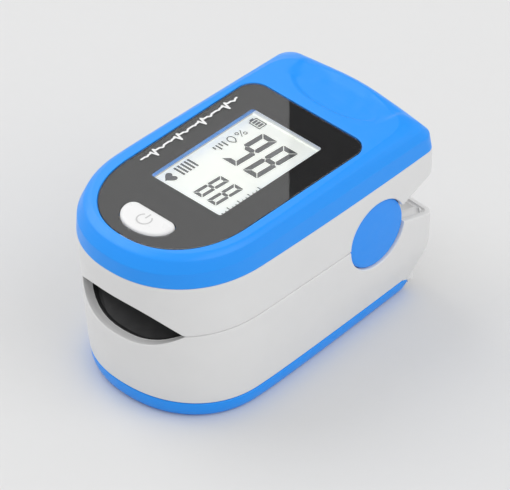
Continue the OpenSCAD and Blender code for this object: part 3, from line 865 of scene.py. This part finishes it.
def make_hinge_caps():
    """The two round covers, slightly domed, with a rounded rim."""
    thick = CAP_HIGH[0] - CAP_LOW[0]
    rim = [(DISC_R - 0.35 * d, thick - 0.16 - 0.35 * h) for d, h in ROUND[::-1]]
    dome = [(DISC_R * f, thick - 0.16 * f**2) for f in (0.92, 0.8, 0.65, 0.5, 0.35, 0.2, 0.08)]
    profile = [(1.5, 0), (DISC_R - 0.1, 0), (DISC_R, 0.1), *rim, *dome]
    for name, s in (("hinge_cap_right", 1), ("hinge_cap_left", -1)):
        foot = (s * CAP_LOW[0], HINGE_Y, HINGE_Z)
        cap = Mesh().lathe([(r, s * at) for r, at in profile], foot, steps=128)
        piece(cap.make(name, BLUE_CAP), "lower", "blue_shell", name)


# ---- window and button

BUTTON_GAP = 0.12
MASK_Z = (MASK_LOW[2] + 0.02, MASK_HIGH[2] - 0.02)
INK_T = 0.03


def prism(mesh, outline_xy, z0, z1, slot=0):
    """A flat shape with straight sides."""
    xy = np.asarray(outline_xy, float)
    return mesh.loft([flat_ring(xy, z0), flat_ring(xy, z1)], slot=slot)


def ribbon(mesh, path, width, z0, z1, slot=0):
    """A flat line of even width along a path in plan."""
    path = np.asarray(path, float)
    d = np.gradient(path, axis=0)
    d /= np.linalg.norm(d, axis=1, keepdims=True)
    side = np.column_stack([-d[:, 1], d[:, 0]]) * width / 2
    rings = [np.array([[*a, z0], [*b, z0], [*b, z1], [*a, z1]])
             for a, b in zip(path - side, path + side)]
    return mesh.loft(rings, slot=slot)


def circle(x, y, r, steps=40, start=0.0, end=2 * math.pi):
    turn = np.linspace(start, end, steps)
    return np.column_stack([x + r * np.cos(turn), y + r * np.sin(turn)])


def densify(path, step=0.1):
    path = np.asarray(path, float)
    reach = np.linalg.norm(np.diff(path, axis=0), axis=1).sum()
    return along(path, np.linspace(0, 1, int(reach / step) + 2))


def make_lens():
    low = LENS_LOW[2] + 0.03
    lens = Mesh().plate(lens_outline(), [
        (0.03, low), (0, low + 0.03), (0, TOP_Z - 0.14), (0.03, TOP_Z - 0.07), (0.1, TOP_Z - 0.04)])
    lens = lens.make("display_lens", WINDOW, sharp=12)
    hole = Mesh().plate(button_outline(BUTTON_GAP), [(0, low - 1), (0, TOP_Z + 1)])
    boolean(lens, hole.make("hole", WINDOW), "DIFFERENCE", 12)
    return piece(lens, "upper", "tinted_window", "display_lens")


def pulse_wave():
    """A pulse trace beside the display, where a printed line fits."""
    beat = [(0, 0), (0.9, 0), (1.25, 0.22), (1.6, 0), (2.1, 0), (2.35, -0.25), (2.75, 1.25),
            (3.15, -0.5), (3.4, 0), (4.2, 0), (4.75, 0.4), (5.3, 0), (5.58, 0)]
    middle, height, start, period = -11.35, 0.92, -10.65, 5.58
    return [(middle + height * up, start + i * period + at) for i in range(4) for at, up in beat]


def make_mask():
    """The printed border under the window, with the display's opening."""
    mask = Mesh().plate(lens_outline(-0.02), [(0, MASK_Z[0]), (0, MASK_Z[1])])
    mask = mask.make("display_mask", PRINT_BLACK)
    r = 0.55
    corners = [(VIEW_X - r, VIEW_HALF_L - r, 0), (-VIEW_X + r, VIEW_HALF_L - r, 90),
               (-VIEW_X + r, -VIEW_HALF_L + r, 180), (VIEW_X - r, -VIEW_HALF_L + r, 270)]
    view = np.concatenate([
        circle(x, VIEW_Y + y, r, 8, math.radians(a), math.radians(a + 90)) for x, y, a in corners])
    view = prism(Mesh(), view, MASK_Z[0] - 1, MASK_Z[1] + 1).make("view", PRINT_BLACK)
    boolean(mask, view, "DIFFERENCE")
    hole = Mesh().plate(button_outline(BUTTON_GAP), [(0, MASK_Z[0] - 1), (0, MASK_Z[1] + 1)])
    boolean(mask, hole.make("hole", PRINT_BLACK), "DIFFERENCE")
    return piece(mask, "upper", "black_print", "display_mask")


def make_trace():
    """The pulse trace, printed on the window's face in strokes with round ends. Strokes that meet
    differ a hair in height, so that their faces don't lie in one plane."""
    low, high, r, hair = TOP_Z - 0.05, TOP_Z - 0.025, 0.18, 0.002
    wave = pulse_wave()
    mesh = Mesh()
    for i, ((x0, y0), (x1, y1)) in enumerate(zip(wave, wave[1:])):
        way = math.atan2(y1 - y0, x1 - x0)
        stroke = np.concatenate([
            circle(x1, y1, r, 9, way - math.pi / 2, way + math.pi / 2),
            circle(x0, y0, r, 9, way + math.pi / 2, way + 1.5 * math.pi)])
        prism(mesh, stroke, low, high + hair * (i % 3))
    return piece(mesh.make("printed_trace", PRINT_WHITE), "upper", "button_white")


def digit(mesh, segments, box, stroke, z, lean):
    """A digit of seven slanted bars with mitred ends and fine gaps between them."""
    x0, x1, y0, y1 = box
    w, g, mid = stroke, 0.1, (y0 + y1) / 2
    top = [(x0 + g, y1), (x1 - g, y1), (x1 - w - g, y1 - w), (x0 + w + g, y1 - w)]
    right = [(x1, y1 - g), (x1, mid + w / 3), (x1 - w / 2, mid + g), (x1 - w, mid + w / 2 + g),
             (x1 - w, y1 - w - g)]
    middle = [(x0 + w / 2 + g, mid), (x0 + w, mid + w / 2), (x1 - w, mid + w / 2),
              (x1 - w / 2 - g, mid), (x1 - w, mid - w / 2), (x0 + w, mid - w / 2)]
    down = lambda shape: [(x, 2 * mid - y) for x, y in shape]
    across = lambda shape: [(x0 + x1 - x, y) for x, y in shape]
    shapes = {"a": top, "b": right, "c": down(right), "d": down(top), "e": down(across(right)),
              "f": across(right), "g": middle}
    for s in segments:
        slanted = [(x - lean * (1 - (y - y0) / (y1 - y0)), y) for x, y in shapes[s]]
        prism(mesh, slanted, z - 0.01, z + INK_T, slot=1)


def make_display():
    """The lit panel with its segments: two readings, a pulse bar, a heart and a battery sign."""
    z = LCD_HIGH[2]
    mesh = Mesh().block(LCD_LOW, LCD_HIGH, 0.12)
    inner_x, inner_l = VIEW_X + 0.1, VIEW_HALF_L + 0.1
    outer_x, outer_l = LCD_HIGH[0], VIEW_HALF_L + 1.2
    well = (((-outer_x, -outer_l), (-inner_x, outer_l)), ((inner_x, -outer_l), (outer_x, outer_l)),
            ((-inner_x, -outer_l), (inner_x, -inner_l)), ((-inner_x, inner_l), (inner_x, outer_l)))
    for (x0, y0), (x1, y1) in well:
        mesh.block((x0, y0 + VIEW_Y, z - 0.05), (x1, y1 + VIEW_Y, WELL_Z - 0.02), 0.03)
    ink = {"z0": z - 0.01, "z1": z + INK_T, "slot": 1}

    def bar(x0, x1, y0, y1):
        prism(mesh, [(x0, y0), (x1, y0), (x1, y1), (x0, y1)], **ink)

    digit(mesh, "abcdfg", (-3.1, 0.15, -0.1, 9.15), 1.0, z, 0.45)
    digit(mesh, "abcdefg", (1.5, 4.75, -0.1, 9.15), 1.0, z, 0.45)
    digit(mesh, "abcdefg", (-0.5, 1.6, -9.75, -3.55), 0.66, z, 0.3)
    digit(mesh, "abcdefg", (2.55, 4.65, -9.75, -3.55), 0.66, z, 0.3)
    turn = np.linspace(0, 2 * math.pi, 48, endpoint=False)
    heart = np.column_stack([
        -6.05 + 1.15 * np.sin(turn) ** 3,
        -9.45 + 1.12 / 15 * (13 * np.cos(turn) - 5 * np.cos(2 * turn) - 2 * np.cos(3 * turn)
                             - np.cos(4 * turn)),
    ])
    prism(mesh, heart, **ink)
    for i in range(5):
        bar(-7.3, -4.85, -7.5 + 0.78 * i, -7.08 + 0.78 * i)
    bar(-6.7, -4.2, 9.5, 9.7)
    bar(-6.7, -4.2, 11.2, 11.4)
    bar(-6.7, -6.5, 9.7, 11.2)
    bar(-4.4, -4.2, 9.7, 11.2)
    bar(-7.05, -6.7, 10.05, 10.85)
    for i in range(3):
        bar(-6.3 + 0.62 * i, -5.85 + 0.62 * i, 9.9, 11.0)
    for y in (7.25, 6.15):
        ribbon(mesh, circle(-5.2 if y > 7 else -6.1, y, 0.3), 0.17, **ink)
    ribbon(mesh, densify([(-4.9, 6.2), (-6.4, 7.2)]), 0.17, **ink)
    drop = np.column_stack([
        -5.75 - 0.75 * np.cos(turn) * np.where(np.cos(turn) < 0, 1.45, 1),
        4.5 + 0.62 * np.sin(turn) * np.where(np.cos(turn) < 0, np.abs(np.sin(turn)), 1),
    ])
    ribbon(mesh, np.concatenate([drop, drop[:1]]), 0.2, **ink)
    for y, length in ((3.0, 1.5), (2.3, 1.0), (1.6, 1.5), (0.9, 0.8)):
        bar(-6.5, -6.5 + length, y - 0.16, y + 0.16)
    for i in range(13):
        bar(6.3 if i % 3 else 5.9, 7.5, -11.4 + 0.8 * i, -11.14 + 0.8 * i)
    panel = mesh.make("lcd_panel", LCD_FIELD, LCD_INK)
    return piece(panel, "upper", "lcd_glass", "lcd_panel")


def make_button():
    """The power button on its flange, with its corner rounded and a fine raised power sign,
    coloured grey as painted shade for its relief.
    """
    base, top = BUTTON_LOW[2], BUTTON_HIGH[2]
    edge = button_outline()
    profile = [(0, base + 0.3)] + [(0.5 * d, top - 0.06 - 0.5 * h) for d, h in ROUND[::-1]]
    rings = [flat_ring(edge + d * inward(edge), z) for d, z in profile]
    middle = rings[-1].mean(0) * [0, 1, 0] + [0, 0, top]
    for f in (0.12, 0.3, 0.5, 0.7, 0.9):
        ring = rings[5] * (1 - f) + middle * f
        ring[:, 2] = top - 0.06 * (1 - f) ** 2
        rings.append(ring)
    button = Mesh()
    button.plate(button_outline(BUTTON_FLANGE), [(0, base), (0, base + 0.6)])
    button.loft(rings)
    foot = size("switch_plunger")[1]
    foot_y = (BUTTON_LOW[1] + BUTTON_HIGH[1]) / 2 + 0.1
    button.lathe([(1.5, 0), (1.5, 0.4)], (0, foot_y, foot[2]), "z", 48)
    sign = Mesh()
    centre_y, r, line = -21.75, 1.25, 0.26
    arc = circle(0, centre_y, r, 48, math.radians(128), math.radians(412))
    upright = densify([(0, centre_y + 0.25), (0, centre_y + 1.55)])
    for path in (arc, upright):
        ribbon(sign, path, line, top - 0.1, top + 0.012)
    body = button.make("power_button", BUTTON_WHITE, sharp=40)
    # The sign's grey material is painted shade for its relief
    body = join(body, sign.make("sign", SIGN_PAINTED_SHADE))
    return piece(body, "power_button", "button_white", "power_button")


# ---- finger pads


def arch_points(height, grow, s, steps=44):
    """Across the channel: an arch above the seam (s = 1) or below it (s = -1), grown by grow."""
    x = (MOUTH_HALF + grow) * np.sin(np.linspace(-math.pi / 2, math.pi / 2, steps + 1))
    z = (height + grow) * (1 - np.abs(x / (MOUTH_HALF + grow)) ** MOUTH_N)
    return np.column_stack([x, SEAM_Z + s * np.maximum(z, 0.15)])


def pad_front(x, z, levels):
    """Where the pad's front edge lies, a wall's thickness behind the shell's nose."""
    table = np.array([level[:3] for level in levels if level[0] > 8])
    side, front = (np.interp(z, table[:, 0], table[:, i]) for i in (1, 2))
    reach = (np.abs(x) / (BODY_HALF - side - WALL)).clip(0, 0.995)
    return NOSE_Y - (NOSE_Y + TAIL_Y - front - WALL - 0.12) * (1 - reach**NOSE_N) ** (1 / NOSE_N)


def make_pad(name, body, height, s, levels):
    """A soft sheet along the channel: a rounded front edge, an end wall and the sensor's hole."""
    r, wall_t, hole_r = 0.4, 1.3, 3.05

    def ring(thin, place):
        section = np.concatenate([
            arch_points(height, 0.15 + thin, s), arch_points(height, 0.15 + PAD_T - thin, s)[::-1]])
        y = place(pad_front(section[:, 0], section[:, 1], levels))
        return np.column_stack([section[:, 0], y, section[:, 1]])

    rings = [ring(r * (1 - math.sin(a)), lambda y, a=a: y + r * (1 - math.cos(a)))
             for a in np.radians(np.linspace(0, 90, 6))]
    rings += [ring(0, lambda y, f=f: y + r + (CHANNEL_END - y - r) * f)
              for f in np.linspace(0, 1, 30)[1:]]
    pad = Mesh().loft(rings).make(name, RUBBER, sharp=45)
    section = arch_points(height, PAD_T + 0.12, s)
    wall = [np.column_stack([section[:, 0], np.full(len(section), y), section[:, 1]])
            for y in (CHANNEL_END - wall_t, CHANNEL_END - 0.01)]
    boolean(pad, Mesh().loft(wall).make("wall", RUBBER), "UNION", 45)
    hole = Mesh().lathe([(hole_r, -12), (hole_r, 12)], (0, SENSOR_Y, SEAM_Z), "z", 64)
    boolean(pad, hole.make("hole", RUBBER), "DIFFERENCE", 45)
    piece(pad, body, "soft_rubber", name)


# ---- moving inner parts


def make_torsion_springs():
    """A coil on each side of the pin, wound up between the two halves as they close."""
    start_x, turns, pitch, coil_r, leg, reach = 4.6, 5, 0.85, 2.3, 2.35, 3.8
    turn = np.linspace(0, 2 * math.pi * turns, turns * 40 + 1)
    end_x = start_x + pitch * turns
    coil = np.column_stack([
        start_x + pitch * turn / (2 * math.pi), coil_r * np.cos(turn), coil_r * np.sin(turn)])
    first = np.array([[start_x, leg, -reach], [start_x, leg, -2.6], [start_x, coil_r + 0.03, -1.2]])
    last = first[::-1] * [0, 1, -1] + [end_x, 0, 0]
    path = np.concatenate([first, coil, last])
    for name, s in (("torsion_spring_right", 1), ("torsion_spring_left", -1)):
        spring = Mesh().wire(path * [s, 1, 1] + [0, HINGE_Y, HINGE_Z], 0.35)
        spring = spring.make(name, STEEL, sharp=60)
        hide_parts(name)
        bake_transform(spring)


def make_flex_cable():
    """A ribbon from the contact board forwards, then up behind the pin to the main board."""
    low, high = size("flex_cable")
    bend, t = 0.8, 0.2
    y0, z0 = low[1] + t / 2, low[2] + t / 2
    turn = np.radians(np.linspace(270, 180, 10))
    corner = np.column_stack([y0 + bend + bend * np.cos(turn), z0 + bend + bend * np.sin(turn)])
    path = densify([(high[1], z0), *corner, (y0, high[2])], 0.3)
    d = np.gradient(path, axis=0)
    d /= np.linalg.norm(d, axis=1, keepdims=True)
    side = np.column_stack([-d[:, 1], d[:, 0]]) * t / 2
    rings = [np.array([[low[0], *a], [high[0], *a], [high[0], *b], [low[0], *b]])
             for a, b in zip(path - side, path + side)]
    cable = Mesh().loft(rings).make("flex_cable", FILM, sharp=50)
    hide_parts("flex_cable")
    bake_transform(cable)


def make_batteries():
    """Two cells, each with a coloured band, a crimped end and a terminal."""
    for name, s in (("battery_left", 1), ("battery_right", -1)):
        low, high = size(name)
        centre = ((low[0] + high[0]) / 2, low[1] if s > 0 else high[1], (low[2] + high[2]) / 2)
        r, length = (high[0] - low[0]) / 2, high[1] - low[1]
        shoulder = length - 1.1
        profile = [(2.8, 0.12), (3.6, 0.05), (r - 0.75, 0), (r - 0.2, 0.12), (r, 0.5),
                   (r, shoulder - 0.5), (r - 0.2, shoulder - 0.1), (r - 0.7, shoulder),
                   (3.4, shoulder), (2.6, shoulder + 0.02), (1.95, shoulder + 0.12),
                   (1.9, length - 0.15), (1.75, length), (0.6, length)]
        cell = Mesh().lathe([(r, s * at) for r, at in profile], centre, "y", 96)
        cell = cell.make(name, JACKET, JACKET_BAND, TIN, sharp=40)
        for face in cell.data.polygons:
            across = math.hypot(face.center.x / MM - centre[0], face.center.z / MM - centre[2])
            if across < r - 1.2:
                face.material_index = 2
        sleeve = [(r - 0.1, 31.5), (r + 0.01, 31.6), (r + 0.01, shoulder - 0.6),
                  (r - 0.1, shoulder - 0.5)]
        band = Mesh().lathe([(r, s * at) for r, at in sleeve], centre, "y", 96)
        piece(join(cell, band.make("band", JACKET_BAND)), "lower", "cell_jacket", name)


# ---- carried-over parts

NODE_MATERIALS = {
    "lcd_light_guide": GUIDE, "lcd_frame": INNER, "lcd_contact_strip": PINK_RUBBER,
    "main_board": BOARD, "microcontroller": CHIP, "sensor_amplifier": CHIP, "crystal": TIN,
    "board_capacitors": CERAMIC, "tact_switch": TIN, "board_screws": STEEL, "emitter_board": BOARD,
    "emitter_leds": LED_PACK, "emitter_window": SENSOR_GLASS, "switch_plunger": CHIP,
    "lower_frame": INNER, "frame_screws": STEEL, "sensor_window": DARK_GLASS, "photodiode": CHIP,
    "sensor_board": BOARD, "hinge_pin": STEEL, "contact_board": BOARD, "battery_contacts": GOLD,
    "battery_springs": TIN, "battery_link": GOLD,
}


def dress_nodes():
    for name, material in NODE_MATERIALS.items():
        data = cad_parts[name].data
        data.materials.clear()
        data.materials.append(material)


# ---- light and floor


def card(name, start, along, width, height, strength, distance=250.0):
    """A plane that only the window shows, square to the camera's ray once the window's face has
    mirrored it."""
    ray = np.array(TO_CAMERA) * [-1, -1, 1]
    right = np.array([math.cos(AZIMUTH), math.sin(AZIMUTH), 0])
    up = np.cross(right, ray)
    centre = np.array(start) + distance * ray + right * (along + width / 2)
    corners = [centre + right * width / 2 * i + up * height / 2 * j
               for i, j in ((-1, -1), (1, -1), (1, 1), (-1, 1))]
    glow = bpy.data.materials.new(name)
    glow.use_nodes = True
    nodes = glow.node_tree.nodes
    nodes.clear()
    emission = nodes.new("ShaderNodeEmission")
    emission.inputs["Strength"].default_value = strength
    output = nodes.new("ShaderNodeOutputMaterial")
    glow.node_tree.links.new(emission.outputs["Emission"], output.inputs["Surface"])
    obj = Mesh().add(corners, [[0, 1, 2, 3]]).make(name, glow)
    for kind in ("camera", "diffuse", "volume_scatter", "shadow"):
        setattr(obj, "visible_" + kind, False)


def make_stage():
    """A pale floor, soft light from all round, a broad lamp on each side, and two cards for the
    window to reflect."""
    scene = bpy.context.scene
    scene.view_settings.view_transform = "Standard"
    scene.view_settings.look = "None"
    world = bpy.data.worlds.new("studio")
    world.use_nodes = True
    world.node_tree.nodes["Background"].inputs["Color"].default_value = (1, 1, 1, 1)
    world.node_tree.nodes["Background"].inputs["Strength"].default_value = 0.72
    scene.world = world
    lamps = (("lamp_right", 0.72, (1, 0.2, 1.1)), ("lamp_left", 0.9, (-1, -0.2, 1.1)))
    for name, energy, towards in lamps:
        lamp = bpy.data.lights.new(name, "SUN")
        lamp.energy = energy
        lamp.angle = math.radians(50)
        obj = bpy.data.objects.new(name, lamp)
        obj.rotation_euler = Vector(towards).to_track_quat("Z", "Y").to_euler()
        scene.collection.objects.link(obj)
    half, floor_z = 3000, -0.02
    corners = [(-half, -half, floor_z), (half, -half, floor_z), (half, half, floor_z),
               (-half, half, floor_z)]
    floor = Mesh().add(corners, [[0, 1, 2, 3]]).make("floor", FLOOR)
    start, width, height = (6.7, 6.3, TOP_Z), 160, 300
    card("bright_card", start, -width, width, height, 1.15)
    card("dark_card", start, 0, width, height, 0.2)


# ---- everything

make_camera()
make_stage()
make_cover()
make_upper_shell()
make_lower_shell()
make_door()
make_hinge_caps()
make_lens()
make_mask()
make_trace()
make_display()
make_button()
make_pad("upper_finger_pad", "upper", MOUTH_RISE, 1, UPPER_LEVELS)
make_pad("lower_finger_pad", "lower", MOUTH_DIP, -1, LOWER_LEVELS)
make_torsion_springs()
make_flex_cable()
make_batteries()
dress_nodes()
